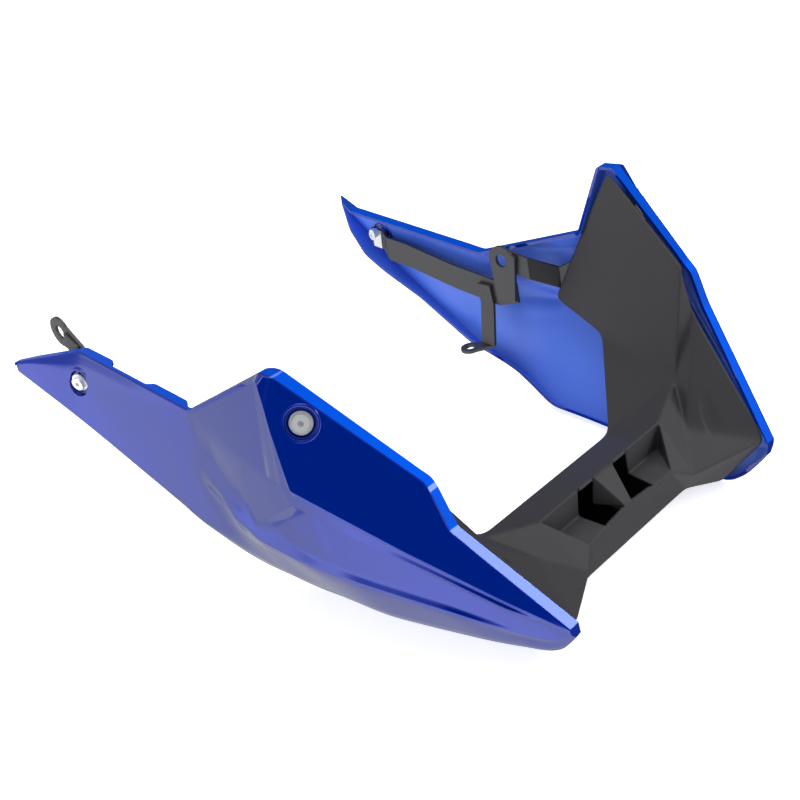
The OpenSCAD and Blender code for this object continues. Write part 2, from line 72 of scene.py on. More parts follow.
def add_node(material, kind, **values):
    """A node of that kind, with attributes by name and inputs by position as i0, i1 and so on."""
    node = material.node_tree.nodes.new(kind)
    for key, value in values.items():
        if key[0] == "i" and key[1:].isdigit():
            node.inputs[int(key[1:])].default_value = value
        else:
            setattr(node, key, value)
    return node


def link(material, source, target):
    material.node_tree.links.new(source, target)


def add_grain(material, scale, height):
    """Fine bumps, from noise in object coordinates, on the material's own shader."""
    nodes = material.node_tree.nodes
    place = add_node(material, "ShaderNodeTexCoord")
    noise = add_node(material, "ShaderNodeTexNoise")
    noise.inputs["Scale"].default_value = scale
    bump = add_node(material, "ShaderNodeBump")
    bump.inputs["Strength"].default_value = 1.0
    bump.inputs["Distance"].default_value = height
    link(material, place.outputs["Object"], noise.inputs["Vector"])
    link(material, noise.outputs["Fac"], bump.inputs["Height"])
    link(material, bump.outputs["Normal"], nodes["Principled BSDF"].inputs["Normal"])


# %% [markdown]
# The panels are painted a deep metallic blue under a clear coat. Head on, the eye sees the dark base coat.
# At a low angle the clear coat mirrors the pale studio. A coat layer on the principled shader does both. The
# turned-in lip round a panel's top is the same paint, but it gets a brighter blue copy of it, as painted light
# for the light from above that falls on the lip. Inside, the paint has no clear coat, so it is paler and
# satin. The plastic and the steel get a fine grain from a bump.

# %% Finishes
PAINT = new_material("blue_paint", (0.0, 0.019, 0.29), 0.4, 0.5, Coat_Weight=1.0, Coat_Roughness=0.02,
                     Coat_IOR=1.5, Specular_IOR_Level=0.0)
# A brighter copy of the blue paint: painted light for the light from above on the lip
PAINT_LIT_LIP = new_material("blue_lip_painted_light", (0.0, 0.075, 0.62), 0.4, 0.3, Coat_Weight=1.0, Coat_Roughness=0.02,
                         Coat_IOR=1.5, Specular_IOR_Level=0.0)
PAINT_INSIDE = new_material("blue_inside", (0.06, 0.16, 0.72), 0.45, 0.0)
BLACK_PLASTIC = new_material("black_plastic", (0.03, 0.029, 0.032), 0.6, Specular_IOR_Level=0.35)
add_grain(BLACK_PLASTIC, 2600, 0.00006)
# Near black, darker than the cowl's plastic: painted shade inside the ducts behind the scoops
DUCT_PAINTED_SHADE = new_material("duct_painted_shade", (0.004, 0.004, 0.005), 0.8, Specular_IOR_Level=0.1)
BLACK_STEEL = new_material("black_steel", (0.028, 0.028, 0.031), 0.42)
add_grain(BLACK_STEEL, 900, 0.00003)
ZINC = new_material("zinc", (0.8, 0.81, 0.83), 0.3, 0.6)
RUBBER = new_material("rubber", (0.02, 0.02, 0.02), 0.7)
print("finishes:", len(bpy.data.materials))

# %% [markdown]
# A panel is a set of long feature lines: its top edge, the creases below it and its base. Each line is a
# short table of places along the length with the line's height or half width there, in millimetres and on
# the left side. They stay close to the lines of the CAD source. A line is read between its points and blurred
# a little, so that its corners come out round, as moulded ones are.

# %% Feature lines of the panels
TAIL_X, NOSE_X = -256.0, 294.0
APEX_X, SHOULDER_X = 114.0, 143.0
TOP_Z = {
    "right": [(-256, 164), (-196, 171), (-36, 155), (113, 236), (126, 236), (204, 155), (211, 148),
              (225, 120), (294, 46.5)],
    "left": [(-256, 165), (-196, 171), (-27, 147), (83, 176), (104, 236), (121, 236), (211, 179),
             (217, 171), (225, 143), (294, 46.5)]}
TOP_Y = {
    "right": [(-256, 207), (-196, 174), (-36, 178), (114, 203), (126, 203), (206, 161), (225, 163),
              (294, 136)],
    "left": [(-256, 207), (-196, 174), (-30, 178), (83, 193), (104, 203), (121, 203), (211, 161),
             (225, 163), (294, 136)]}
RIDGE_X = 119.5
RIDGE_Z = [(119.5, 232.6), (123, 223.1), (129.1, 205.2), (136.3, 185.6), (144.2, 163.3), (177, 136),
           (206, 112), (257, 73), (294, 44.6)]
RIDGE_Y = [(119.5, 210.5), (123, 212.6), (129.1, 216.6), (144.2, 223.6), (257, 159), (294, 135.8)]
CREASE_Z = [(-256, 162.5), (-196, 160), (-117, 154), (-60, 149), (-36, 147), (27, 150), (101, 154),
            (143, 159), (177, 132), (206, 108.5), (257, 69.5), (294, 43.3)]
CREASE_Y = [(-256, 207), (-196, 182), (-117, 182), (-36, 179), (27, 195), (101, 214), (143, 223),
            (294, 135.5)]
POCKET_TOP_Z = [(-256, 161.2), (-196, 139), (-117, 128), (-59, 122), (0, 118), (50, 104), (58, 94),
                (136, 146), (177, 121), (206, 103), (259, 66), (282, 48.5), (294, 42.1)]
POCKET_TOP_Y = [(-256, 207), (-196, 190), (-117, 185), (-59, 181), (0, 188), (58, 204.5), (136, 219),
                (174, 205), (203, 189.5), (226, 176.5), (259, 158.5), (282, 141), (294, 135)]
FLOOR_TOP_Z = [(-256, 160), (-196, 135), (-117, 118), (-59, 110), (0, 106), (50, 97), (60, 90.5), (84, 99),
               (143, 138), (177, 115), (206, 97), (259, 61), (282, 45), (294, 41)]
FLOOR_END_Z = [(-256, 158.8), (-196, 131.5), (-117, 108), (-59, 98), (0, 95), (50, 91), (60, 87),
               (84, 93.5), (110, 89.5), (150, 83), (186, 73.5), (219, 63.5), (248, 49), (275, 35),
               (294, 39.9)]
LEDGE_Z = [(-256, 157.6), (-196, 128), (-117, 98), (-59, 85), (0, 84), (58, 84), (113, 82), (154, 76),
           (189, 67), (226, 57), (250, 43.5), (277, 30.5), (294, 38.9)]
LEDGE_Y = [(-256, 207), (-196, 195), (-117, 187), (-59, 186), (0, 193), (58, 208), (113, 209), (154, 201),
           (189, 188), (226, 173), (250, 157), (277, 138), (294, 133)]
SKIRT_Z = [(-256, 156.4), (-196, 124.5), (-117, 84), (-59, 66), (0, 70), (58, 74), (113, 72), (154, 64),
           (226, 46), (277, 25), (294, 37.9)]
SKIRT_Y = [(-256, 207), (-196, 197), (-117, 187), (-59, 187), (0, 192), (58, 204), (113, 204), (154, 195),
           (226, 167), (277, 134), (294, 132)]
BELLY_Z = [(-256, 155.2), (-196, 121.5), (-117, 76), (-59, 48), (0, 38), (51, 26), (80, 24), (145, 20),
           (224, 13), (263, 10), (277, 19), (285, 28), (294, 36.9)]
BELLY_Y = [(-256, 207), (-117, 187.5), (-59, 186), (0, 186), (24, 185), (51, 181), (80, 177), (145, 172),
           (224, 147), (263, 131), (294, 131)]
BASE_Z = [(-256, 154), (-211, 128), (-171, 102), (-117, 71), (-59, 38), (50, 2), (58, 0.2), (236, 0.2),
          (262, 3), (275, 12), (285, 24), (294, 36)]
BASE_Y = [(-256, 207), (-211, 200), (-171, 193), (-117, 187), (-66, 181), (-20, 178), (2, 175), (27, 168),
          (50, 160), (92, 156), (137, 150), (182, 142), (222, 131), (262, 121), (294, 130)]
RIM_IN = [(-256, 3), (-240, 12), (-226, 20), (-196, 27), (-128, 13), (0, 11), (222, 8), (262, 5), (294, 5)]
RIM_UP = [(-256, 1), (-128, 0), (0, 8), (222, 4), (262, 3), (294, 1)]
LIP_DOWN = [(-256, 3), (-200, 4.2), (-188, 1.4), (-44, 1.4), (-32, 4.8), (108, 5.2), (119.5, 3.4)]
LIP_OUT = [(-256, 1.5), (-200, 3), (-188, 0.8), (-44, 0.8), (-32, 1.4), (108, 3.2), (119.5, 7.5)]
POCKET = [(60, 0), (84, 6), (143, 6), (240, 3), (283, 0.2)]
TOP_IN = {"right": [(-256, 6), (-240, 9), (-155, 10), (-150, 4), (-98, 4), (-93, 9), (-47, 9), (-42, 4),
                    (-36, 4), (-20, 5), (108, 5), (118, 11), (126, 11), (200, 8.5), (294, 10)],
          "left": [(-256, 2), (-236, 8), (-196, 11), (126, 11), (200, 8.5), (294, 10)]}


def line(table, x, blur):
    """Height or width of a feature line at each x: the table's straight steps, averaged over plus or minus
    blur. Past the table's ends its last steps go on straight."""
    t = np.array(table, float)
    first, last = t[0] + (t[0] - t[1]), t[-1] + (t[-1] - t[-2])
    t = np.vstack([first, t, last])
    steps = np.linspace(-1, 1, 13)
    weights = np.cos(steps * math.pi / 2) + 0.1
    values = [np.interp(x + s * blur, t[:, 0], t[:, 1]) for s in steps]
    return np.tensordot(weights / weights.sum(), values, axes=1)


print("lines read, top of the fin", line(TOP_Z["right"], np.array([120.0]), 3).round(1))

# %% [markdown]
# Every large piece here is a list of points worked out with numpy. These helpers turn points into a smooth
# shaded mesh, and join the rows and columns of a grid of points by four-sided faces.

# %% Helpers for meshes
def mesh_object(name, points, faces, *materials):
    """A smooth shaded mesh object from points in metres and faces of vertex numbers."""
    mesh = bpy.data.meshes.new(name)
    mesh.from_pydata([tuple(p) for p in points], [], [tuple(int(v) for v in f) for f in faces])
    mesh.polygons.foreach_set("use_smooth", [True] * len(mesh.polygons))
    mesh.update()
    for material in materials:
        mesh.materials.append(material)
    made = bpy.data.objects.new(name, mesh)
    bpy.context.scene.collection.objects.link(made)
    return made


def grid_faces(rows, cols):
    """Four-sided faces of a grid of rows by cols points."""
    i, j = np.meshgrid(np.arange(rows - 1), np.arange(cols - 1), indexing="ij")
    a = (i * cols + j).ravel()
    return np.stack([a, a + cols, a + cols + 1, a + 1], axis=1)


print("grid of 3 by 3 points:", len(grid_faces(3, 3)), "faces")

# %% [markdown]
# Across the panel, the lines give the corners of a section. Each corner is rounded with a small curve,
# tighter at the hard creases than at the soft ones. The inner face lies one wall behind the outer one, and
# its curves are smaller by the wall, as in a moulding of even thickness.

# %% Rounded corners and an even wall
WALL = 2.6
SHORT_SIDE_SHARE, LEAST_CURVE, LEAST_LEAN = 0.45, 0.15, 0.6


def round_corners(section, back, radii, samples=5):
    """Each inner corner of a section becomes a curve that starts and ends at its radius, or at a share of a
    short side. A point of the curve is (1-t)^2 start + 2t(1-t) corner + t^2 end. The inner face has the same
    curves around its own corners, made smaller by the wall."""
    t = np.linspace(0, 1, samples)[:, None, None]
    outer, inner = [section[0][None]], [back[0][None]]
    for k in range(1, len(section) - 1):
        corner = section[k]
        ends = []
        for other in (section[k - 1], section[k + 1]):
            step = other - corner
            length = np.linalg.norm(step, axis=1, keepdims=True)
            ends.append(corner + step * np.minimum(radii[k] / np.maximum(length, 1e-6), SHORT_SIDE_SHARE))
        curve = (1 - t) ** 2 * ends[0] + 2 * t * (1 - t) * corner + t ** 2 * ends[1]
        outer.append(curve)
        inner.append(back[k] + (curve - corner) * np.maximum(LEAST_CURVE, 1 - WALL / radii[k]))
    outer.append(section[-1][None])
    inner.append(back[-1][None])
    return np.concatenate(outer), np.concatenate(inner)


def behind(grid, wall):
    """Points a wall's depth behind a grid. Each point goes back along the mean normal of its four faces, and
    by the wall over the cosine to the face that leans away most, so that the wall is even at a crease."""
    across, along = np.diff(grid, axis=1), np.diff(grid, axis=0)
    normals = np.cross(along[:, 1:] + along[:, :-1], across[1:] + across[:-1])
    normals /= np.maximum(np.linalg.norm(normals, axis=2, keepdims=True), 1e-9)
    n = np.pad(normals, ((1, 1), (1, 1), (0, 0)), mode="edge")
    around = np.stack([n[:-1, :-1], n[:-1, 1:], n[1:, :-1], n[1:, 1:]])
    mean = around.sum(axis=0)
    mean /= np.maximum(np.linalg.norm(mean, axis=2, keepdims=True), 1e-9)
    lean = (around * mean).sum(axis=3).min(axis=0)[..., None]
    return grid - mean * wall / np.maximum(lean, LEAST_LEAN)


square = np.array([[[0, 0, 0], [0, 1, 0]], [[1, 0, 0], [1, 1, 0]]], float)
print("corner of a flat square, one wall behind:", behind(square, WALL)[0, 0].round(2))

# %% [markdown]
# All sections side by side make the panel's grid. Stations lie closest round the fin, where the shape changes
# fastest. The pocket fades out toward the tail, where the side is one flat face: its points are drawn to a
# straight line, and its corners get large radii, because any ripple there would show in the gloss.

# %% The two grids of a panel
FLAT_FROM, FLAT_OVER = 40, 100
BELLY_LINE_FROM, BELLY_LINE_OVER = -70, 40
SOFT_FROM, SOFT_OVER, SOFT_RADIUS = 56, 30, 30
TAPER_OVER = 12


def panel_grids(side):
    """Points of a panel's outer and inner faces, as stations by places across, in millimetres and on the
    left side."""
    x = np.concatenate([np.linspace(TAIL_X, APEX_X - 8, 150), np.linspace(APEX_X - 7, SHOULDER_X + 4, 70),
                        np.linspace(SHOULDER_X + 5, NOSE_X, 120)])
    top_z, top_y = line(TOP_Z[side], x, 2), line(TOP_Y[side], x, 2)
    ridge_z = np.where(x < RIDGE_X, top_z - line(LIP_DOWN, x, 3), line(RIDGE_Z, x, 0.8))
    ridge_y = np.where(x < RIDGE_X, top_y + line(LIP_OUT, x, 3), line(RIDGE_Y, x, 0.8))
    pocket_y, ledge_y, depth = line(POCKET_TOP_Y, x, 5), line(LEDGE_Y, x, 14), line(POCKET, x, 5)
    base_y, base_z = line(BASE_Y, x, 16), line(BASE_Z, x, 6)
    section = [
        (top_y - line(TOP_IN[side], x, 3), top_z),
        (top_y, top_z),
        (ridge_y, ridge_z),
        (line(CREASE_Y, x, 12), line(CREASE_Z, x, 4)),
        (pocket_y, line(POCKET_TOP_Z, x, 4)),
        (pocket_y * 0.7 + ledge_y * 0.3 - depth, line(FLOOR_TOP_Z, x, 6)),
        (pocket_y * 0.2 + ledge_y * 0.8 - depth, line(FLOOR_END_Z, x, 8)),
        (ledge_y, line(LEDGE_Z, x, 10)),
        (line(SKIRT_Y, x, 16), line(SKIRT_Z, x, 14)),
        (line(BELLY_Y, x, 16), line(BELLY_Z, x, 12)),
        (base_y, base_z),
        (base_y - line(RIM_IN, x, 8), base_z + line(RIM_UP, x, 8))]
    section = np.array([np.stack([x, *p], axis=1) for p in section])
    # The flat face runs from the crease down to the belly, or to the base at the tail
    start = section[3]
    to_base = np.clip((BELLY_LINE_FROM - x) / BELLY_LINE_OVER, 0, 1)[:, None]
    end = section[9] + to_base * (section[10] - section[9])
    down = (start[:, 2] - section[4:10, :, 2]) / (start[:, 2] - end[:, 2])
    flat = np.clip((FLAT_FROM - x) / FLAT_OVER, 0, 1)
    flat = flat * flat * (3 - 2 * flat)
    section[4:10, :, 1] += flat * (start[:, 1] + (end[:, 1] - start[:, 1]) * down - section[4:10, :, 1])
    taper = np.clip(np.minimum(x - TAIL_X, NOSE_X - x) / TAPER_OVER, 0.5, 1)[:, None, None]
    back = behind(section.transpose(1, 0, 2), WALL * taper).transpose(1, 0, 2)
    soft = np.clip((SOFT_FROM - x) / SOFT_OVER, 0, 1)[:, None] * SOFT_RADIUS
    radii = [0, 1.4, 1.0, 6 + soft * 0.1, 1.2 + soft, 3 + soft, 2.5 + soft, 1.5 + soft, 10, 14, 2, 0]
    outer, inner = round_corners(section, back, radii)
    return outer.transpose(1, 0, 2), inner.transpose(1, 0, 2)


print("points of an outer grid:", panel_grids("left")[0].shape[:2])

# %% [markdown]
# The outer grid, the inner grid, a strip round the edge and a cap over each end close the skin. Faces have
# to point outward, and a mirrored piece turns inside out, so the right side's faces are read backwards. The
# outer faces next to the top edge are the lip, and get the brighter copy of the paint: painted light on the
# lip.

# %% Make the two skins
def placed(points, side):
    """Millimetres of the left side to metres of the frame, mirrored for the right side."""
    p = np.array(points, float).reshape(-1, 3) * MM + np.array([CENTRE_X * MM, 0, 0])
    return p * np.array([1, 1 if side == "left" else -1, 1])


def shell_faces(rows, cols):
    """Faces of a shell of two grids of rows by cols points: outer, inner, and the strip round the edge."""
    n = rows * cols
    outer = grid_faces(rows, cols)
    ring = np.concatenate([np.arange(cols), np.arange(1, rows) * cols + cols - 1,
                           n - 2 - np.arange(cols - 1), np.arange(rows - 2, 0, -1) * cols])
    after = np.roll(ring, -1)
    return outer, outer[:, ::-1] + n, np.stack([ring, after, after + n, ring + n], axis=1)


def end_caps(rows, cols):
    """A flat face over each open end of a shell, as one polygon of the first and of the last row's points."""
    return [np.arange(cols - 1, -1, -1), np.arange((rows - 1) * cols, rows * cols)]


INSIDE_SLOT, LIT_LIP_SLOT = 1, 2
skins = {}
for side in ("right", "left"):
    outer, inner = panel_grids(side)
    parts = shell_faces(*outer.shape[:2])
    faces = [*np.concatenate(parts), *end_caps(*outer.shape[:2])]
    if side == "right":
        faces = [face[::-1] for face in faces]
    points = placed(np.concatenate([outer, inner]).reshape(-1, 3), side)
    skin = mesh_object(f"{side}_panel_skin", points, faces, PAINT, PAINT_INSIDE, PAINT_LIT_LIP)
    finish = np.zeros(len(faces), np.int32)
    finish[len(parts[0]):len(parts[0]) + len(parts[1])] = INSIDE_SLOT
    # The lip's faces get the brighter copy of the paint, painted light for the light that falls on the lip
    finish[:len(parts[0]):outer.shape[1] - 1] = LIT_LIP_SLOT
    skin.data.polygons.foreach_set("material_index", finish)
    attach(skin, "root")
    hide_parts(f"{side}_side_panel")
    skins[side] = skin
    print(side, "skin", len(skin.data.vertices), "points")

# %% [markdown]
# Each panel bolt sits in a round cup. A cutter cylinder takes the hole out of the skin with a boolean, and a
# dish turned about the bolt's axis lines it: a small rounded lip, a wall 4 mm deep and a flat floor round the
# bolt. The tail cups lean toward the skin's own normal, which a ray finds. Smooth shading across a sharp rim
# would darken the lip, so sharp edges are marked and the large flat faces lead the shading.

# %% Cups for the bolts
SHARP_ANGLE = math.radians(40)


def turned(profile, place, way, side, steps=64):
    """Points of a profile (radius, height) turned about the axis 'way' through 'place', with its faces."""
    way = Vector(way).normalized()
    turn = np.array(way.to_track_quat("Z", "X").to_matrix())
    angle = np.linspace(0, 2 * math.pi, steps, endpoint=False)
    r, h = np.array(profile, float).T
    heights = np.repeat(h[:, None], steps, 1)
    local = np.stack([np.outer(r, np.cos(angle)), np.outer(r, np.sin(angle)), heights], 2)
    points = local.reshape(-1, 3) @ turn.T + np.array(place)
    i, j = np.meshgrid(np.arange(len(r) - 1), np.arange(steps), indexing="ij")
    a, b = i * steps + j, i * steps + (j + 1) % steps
    faces = np.stack([a, b, b + steps, a + steps], axis=2).reshape(-1, 4)
    return placed(points, side), faces if side == "left" else faces[:, ::-1]


def skin_point(side, x, z):
    """Place and outward normal of a panel's outer face at a length and a height, by a ray along Y. Both are
    given for the left side."""
    mirror = 1 if side == "left" else -1
    tree = BVHTree.FromPolygons([v.co.copy() for v in skins[side].data.vertices],
                                [tuple(f.vertices) for f in skins[side].data.polygons])
    start = Vector(((x + CENTRE_X) * MM, mirror * RAY_START, z * MM))
    hit, normal, _, _ = tree.ray_cast(start, Vector((0, -mirror, 0)))
    return (x, abs(hit.y) / MM, z), Vector((normal.x, abs(normal.y), normal.z))


RAY_START = 0.4
FRONT_WAY = (0.685, 0.642, 0.344)
BOLT_PLACES = {"right": [((-190, 147), (0.24, 0.966, -0.09)), ((144, 204), FRONT_WAY)],
               "left": [((-174, 142), (0.2, 0.975, -0.1)), ((144, 204), FRONT_WAY)]}
DISH = [(14.3, -3), (13.9, -0.8), (13.4, 0.1), (12.6, 0.3), (11.8, 0.15), (11.3, -0.6), (11.1, -3.2),
        (10.6, -3.8), (9.6, -4), (4.6, -4), (4.6, -6.4)]
HOLE_RADIUS, HOLE_BELOW, HOLE_ABOVE = 11.6, -12, 9
HOLE = [(0, HOLE_BELOW), (HOLE_RADIUS, HOLE_BELOW), (HOLE_RADIUS, HOLE_ABOVE), (0, HOLE_ABOVE)]
for side, places in BOLT_PLACES.items():
    for number, ((x, z), way) in enumerate(places):
        place, normal = skin_point(side, x, z)
        if number == 0:
            way = (Vector(way) + normal * 2).normalized()
        points, faces = turned(DISH, place, way, side)
        dish = mesh_object(f"{side}_cup_{number}", points, faces, PAINT)
        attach(dish, "root")
        points, faces = turned(HOLE, place, way, side, 48)
        cutter = mesh_object("cutter", points, faces)
        cut = skins[side].modifiers.new("cup", "BOOLEAN")
        cut.object = cutter
        cut.solver = "EXACT"
        solid = skins[side].evaluated_get(bpy.context.evaluated_depsgraph_get())
        mesh = bpy.data.meshes.new_from_object(solid)
        skins[side].modifiers.clear()
        skins[side].data = mesh
        bpy.data.objects.remove(cutter)
        skins[side].data.set_sharp_from_angle(angle=SHARP_ANGLE)
        print(side, "cup at", [round(v, 1) for v in place], "skin points", len(mesh.vertices))

for skin in skins.values():
    even = skin.modifiers.new("flat faces lead the shading", "WEIGHTED_NORMAL")
    even.keep_sharp = True

# %% [markdown]
# The cowl is one black moulding of flat facets: a wing inside each panel, and between them a bridge with two
# scoops, each partly closed by a baffle. Its few corners, named by their number below, are joined by
# triangles. The middle corners are shared by both sides, so only the ones before them are mirrored.

# %% Corners and facets of the cowl
KINKS = {"left": ((213, 144, 179), (220, 146, 140)), "right": ((205, 148, 131), (224, 149, 107))}
WING_TOP = {"left": (119, 186, 233), "right": (116, 187, 226)}
NOSE_END = {"left": (291, 127.5, 48), "right": (291, 125, 43)}
SIDE_CORNERS, MIDDLE_CORNERS = 23, 4


def cowl_corners(side):
    """Corners of one side of the cowl and then its middle ones, in millimetres, on the left side."""
    return [WING_TOP[side], (104, 186, 208), (87, 186, 178), (47, 184, 105), (115, 160, 92), (171, 83, 46),
            *KINKS[side], (213, 124, 87), (238, 98, 61), (262, 70, 40), (254, 67, 26), NOSE_END[side],
            (258, 114, 7), (227, 77, 76), (227, 12, 76), (249, 4, 51), (252, 53, 49), (226, 74, 52),
            (226, 15, 52), (227, 31, 76), (226, 33, 52), (250.5, 31, 50), (171, 0, 46), (227, 0, 76),
            (249, 0, 51), (254, 0, 26)]


COWL_FACES = np.array([
    (0, 1, 6), (1, 2, 6), (2, 4, 6), (2, 3, 4), (6, 4, 8), (6, 8, 7), (7, 8, 9), (7, 9, 12), (9, 10, 12),
    (12, 10, 11), (12, 11, 13), (8, 4, 5), (8, 5, 14), (9, 8, 14), (10, 9, 14), (10, 14, 17), (11, 10, 17),
    (14, 5, 20), (20, 5, 15), (5, 23, 15), (23, 24, 15), (15, 24, 25), (15, 25, 16), (16, 25, 26),
    (16, 26, 11), (16, 11, 22), (22, 11, 17), (22, 17, 18), (22, 18, 21), (18, 17, 14), (15, 16, 19),
    (14, 20, 21), (14, 21, 18)])
print("facets on one side of the cowl:", len(COWL_FACES))


# %% [markdown]
# The facets are split into small triangles and smoothed a little, so that each fold gets the soft edge of a
# moulding while the facets stay flat. A shallow dent in the left wing is then pressed in by a formula.

# %% Helpers to split, smooth and dent
DENT_WAY = (0.76, 0.35, 0.55)
TO_MEAN = 0.6


def split(points, faces):
    """Each triangle becomes four, by the middles of its sides."""
    sides = np.sort(np.concatenate([faces[:, [0, 1]], faces[:, [1, 2]], faces[:, [2, 0]]]), axis=1)
    unique, back = np.unique(sides, axis=0, return_inverse=True)
    back = back.reshape(-1)
    middle = (points[unique[:, 0]] + points[unique[:, 1]]) / 2
    n, m = len(points), len(faces)
    ab, bc, ca = back[:m] + n, back[m:2 * m] + n, back[2 * m:] + n
    a, b, c = faces.T
    return np.vstack([points, middle]), np.concatenate(
        [np.stack(f, axis=1) for f in ((a, ab, ca), (ab, b, bc), (ca, bc, c), (ab, bc, ca))])


def relax(points, faces, times):
    """Each point moves toward the mean of its neighbours, and a point on an open edge toward the mean of its
    two neighbours on that edge."""
    sides = np.sort(np.concatenate([faces[:, [0, 1]], faces[:, [1, 2]], faces[:, [2, 0]]]), axis=1)
    unique, count = np.unique(sides, axis=0, return_counts=True)
    border = unique[count == 1]
    on_border = np.zeros(len(points), bool)
    on_border[border] = True
    pairs = np.vstack([unique, unique[:, ::-1]])
    pairs = pairs[~on_border[pairs[:, 0]]]
    pairs = np.vstack([pairs, border, border[:, ::-1]])
    weight = np.bincount(pairs[:, 0], minlength=len(points))[:, None]
    for _ in range(times):
        sums = [np.bincount(pairs[:, 0], points[pairs[:, 1], k], len(points)) for k in range(3)]
        points = points * (1 - TO_MEAN) + np.stack(sums, axis=1) / weight * TO_MEAN
    return points


def press_in(points, start, end, width, depth):
    """A lens-shaped dent between two places, sunk by depth * sqrt(1 - (across/width)^2 - (2 along - 1)^2)."""
    start, end = np.array(start, float), np.array(end, float)
    length = end - start
    along = (points - start) @ length / (length @ length)
    across = np.linalg.norm(points - start - along[:, None] * length, axis=1) / width
    sink = np.sqrt(np.clip(1 - across ** 2 - (2 * along - 1) ** 2, 0, 1)) * depth
    return points - sink[:, None] * np.array(DENT_WAY)


left_corners, right_corners = (np.array(cowl_corners(s), float) for s in ("left", "right"))
corners = np.vstack([left_corners, right_corners[:SIDE_CORNERS] * (1, -1, 1)])
ALL_LEFT = SIDE_CORNERS + MIDDLE_CORNERS
other_side = np.concatenate([np.arange(SIDE_CORNERS) + ALL_LEFT, np.arange(SIDE_CORNERS, ALL_LEFT)])
cowl_points, cowl_faces = corners, np.vstack([COWL_FACES, other_side[COWL_FACES][:, ::-1]])
SPLITS, RELAXINGS = 5, 9
for _ in range(SPLITS):
    cowl_points, cowl_faces = split(cowl_points, cowl_faces)
cowl_points = relax(cowl_points, cowl_faces, RELAXINGS)
DENT = dict(start=(234, 130, 89), end=(261, 104, 53), width=6.5, depth=2.2)
cowl_points = press_in(cowl_points, **DENT)
print("cowl", len(cowl_faces), "triangles")

# %% [markdown]
# Behind each scoop's inner end a deep duct goes down. It is a box without a lid, and its faces look into its
# hollow, where the eye sees them. Its faces are painted near black, darker than the cowl's plastic: painted
# shade for the dark hollow behind the scoop. The cowl gets its wall from a Solidify modifier.

# %% The ducts and the cowl's shell
COWL_WALL = 2.5
DUCT_ENDS = (31.5, 8)
DUCT_SIDE = [(249, 49), (226, 52), (226, 74), (196, 58), (196, 20), (249, 20)]
for sign in (1, -1):
    points = np.array([(px, sign * py, pz) for py in DUCT_ENDS for px, pz in DUCT_SIDE])
    walls = [(k + 6, k + 7, k + 1, k) for k in (3, 4)] + [(11, 6, 0, 5)]
    faces = [face[::sign] for face in [(0, 1, 2, 3, 4, 5), (11, 10, 9, 8, 7, 6), *walls]]
    name = "vent_duct_left" if sign > 0 else "vent_duct_right"
    # Each duct is painted near black as painted shade
    duct = mesh_object(name, placed(points, "left"), faces, DUCT_PAINTED_SHADE)
    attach(duct, "root")
cowl = mesh_object("cowl_shell", placed(cowl_points, "left"), cowl_faces, BLACK_PLASTIC)
wall = cowl.modifiers.new("wall", "SOLIDIFY")
wall.thickness = COWL_WALL * MM
wall.offset = -1
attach(cowl, "root")
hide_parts("centre_cowl")
print("cowl shell", len(cowl.data.vertices), "points")

# %% [markdown]
# The stays are bent steel strip, and the fasteners are small turned and pressed pieces. Their CAD nodes are
# shown as they are, with the edges broken by a narrow bevel so that they catch the light.

# %% Finish the steel and the fasteners
FINISH_OF = {"black_steel": BLACK_STEEL, "zinc": ZINC, "rubber": RUBBER, "blue_paint": PAINT,
             "black_plastic": BLACK_PLASTIC}
EDGE_WIDTH = {"black_steel": 0.6, "zinc": 0.3}
slots = {part["node"]: part["material_slot"] for part in frame["record"]["subparts"]}
for name, node in frame["nodes"].items():
    node.data.materials.clear()
    node.data.materials.append(FINISH_OF[slots[name]])
    if slots[name] in EDGE_WIDTH:
        bevel = node.modifiers.new("edges", "BEVEL")
        bevel.width = EDGE_WIDTH[slots[name]] * MM
        bevel.segments = 2
        bevel.limit_method = "ANGLE"
        bevel.angle_limit = SHARP_ANGLE
print("nodes finished:", len(slots))

# %% [markdown]
# The studio is a white sweep under soft light. The world gives most of the light, and the camera sees it as
# plain white. What the clear coat mirrors is another matter: it shows pale surroundings at the sides of the
# pan and dark ones in front. So for glossy rays alone the world is brighter than white at the sides and dark
# in front, by the direction in the frame. It stays put when the camera moves.

# %% Helpers for the world
world = bpy.data.worlds.new("studio")
bpy.context.scene.world = world
world.use_nodes = True
w = world.node_tree
CAMERA_WAY = (0.672, -0.571, 0.472)


def world_node(kind, **values):
    node = w.nodes.new(kind)
    for key, value in values.items():
        setattr(node, key, value)
    return node


def world_light(strength):
    node = world_node("ShaderNodeBackground")
    node.inputs["Color"].default_value = (1, 1, 1, 1)
    node.inputs["Strength"].default_value = strength
    return node


SOFT_LIGHT = 0.55
soft, mirror, backdrop = world_light(SOFT_LIGHT), world_light(1.0), world_light(1.0)
print("lights of the world: soft, mirrored and backdrop")

# %% [markdown]
# The mirrored light is a table read by a colour ramp. Two more ramps make it dark on the pan's left, which is
# the side away from the photograph's camera, and dimmer higher up.

